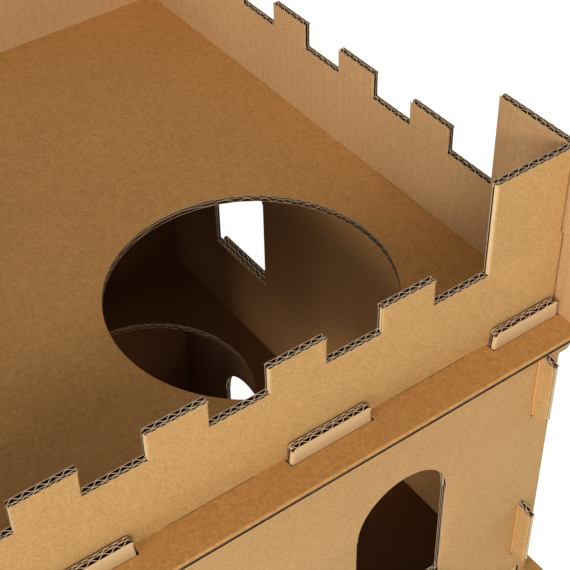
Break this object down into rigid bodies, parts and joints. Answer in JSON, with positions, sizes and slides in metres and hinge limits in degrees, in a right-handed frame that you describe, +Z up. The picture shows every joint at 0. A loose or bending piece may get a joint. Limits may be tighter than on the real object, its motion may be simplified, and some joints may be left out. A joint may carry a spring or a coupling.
{
  "type": "cardboard play castle",
  "caption": "Slot-together play castle of corrugated cardboard, with two storeys, arched windows, round climbing holes and a battlemented top deck.",
  "frame": {"origin": "on the ground under the middle of the top deck", "axes": "+X to the right, +Y to the back, +Z up; the doorway faces -Y"},
  "size_m": [0.553, 0.553, 0.71],
  "materials": {
    "cardboard": "matt kraft liner with open fluted edges"
  },
  "bodies": {
    "root": {"base_board": "cardboard", "level1_front": "cardboard", "level1_back": "cardboard", "level1_left": "cardboard", "level1_right": "cardboard", "level2_floor": "cardboard", "level2_front": "cardboard", "level2_back": "cardboard", "level2_left": "cardboard", "level2_right": "cardboard", "top_deck": "cardboard", "parapet_front": "cardboard", "parapet_back": "cardboard", "parapet_left": "cardboard", "parapet_right": "cardboard"}
  },
  "joints": []
}
